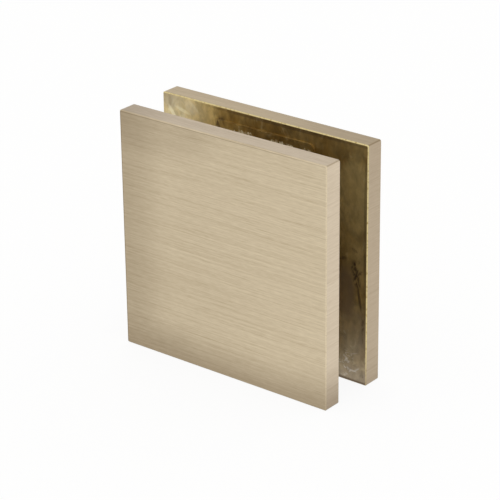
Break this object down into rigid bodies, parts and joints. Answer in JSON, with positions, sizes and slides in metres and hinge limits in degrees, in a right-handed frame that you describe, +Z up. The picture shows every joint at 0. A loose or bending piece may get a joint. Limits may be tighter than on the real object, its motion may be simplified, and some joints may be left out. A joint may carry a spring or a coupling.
{
  "type": "glass panel clamp",
  "caption": "Square solid-brass clamp for a fixed glass panel: a front jaw with a base block for a wall screw, and a loose back jaw drawn in by countersunk screws.",
  "frame": {"origin": "middle of the base, at the height of the face that meets the wall or floor", "axes": "+X across the plates, +Y from the plain front face to the back face with the screws, +Z up from the base along the glass slot"},
  "size_m": [0.0508, 0.0176, 0.0508],
  "materials": {
    "brushed_brass": "satin, brushed in one direction on the outer faces, raw and glossy on the faces inside the slot",
    "plated_screw": "satin"
  },
  "bodies": {
    "front_jaw": {"front_jaw": "brushed_brass"},
    "back_jaw": {"back_jaw": "brushed_brass"},
    "left_screw": {"left_screw": "plated_screw"},
    "right_screw": {"right_screw": "plated_screw"}
  },
  "joints": [
    {"name": "jaw_travel", "type": "slide", "parent": "front_jaw", "child": "back_jaw", "axis": [0, 1, 0], "range_m": [0, 0.0056]},
    {"name": "left_screw_turn", "type": "hinge", "parent": "back_jaw", "child": "left_screw", "pos_m": [-0.008, 0.0086, 0.0085], "axis": [0, 1, 0], "range_deg": [0, 2016]},
    {"name": "right_screw_turn", "type": "hinge", "parent": "back_jaw", "child": "right_screw", "pos_m": [0.008, 0.0086, 0.0085], "axis": [0, 1, 0], "range_deg": [0, 2016]}
  ],
  "couplings": [
    {"joint": "left_screw_turn", "follows": "jaw_travel", "rad_per_m": 6283.2},
    {"joint": "right_screw_turn", "follows": "jaw_travel", "rad_per_m": 6283.2}
  ]
}
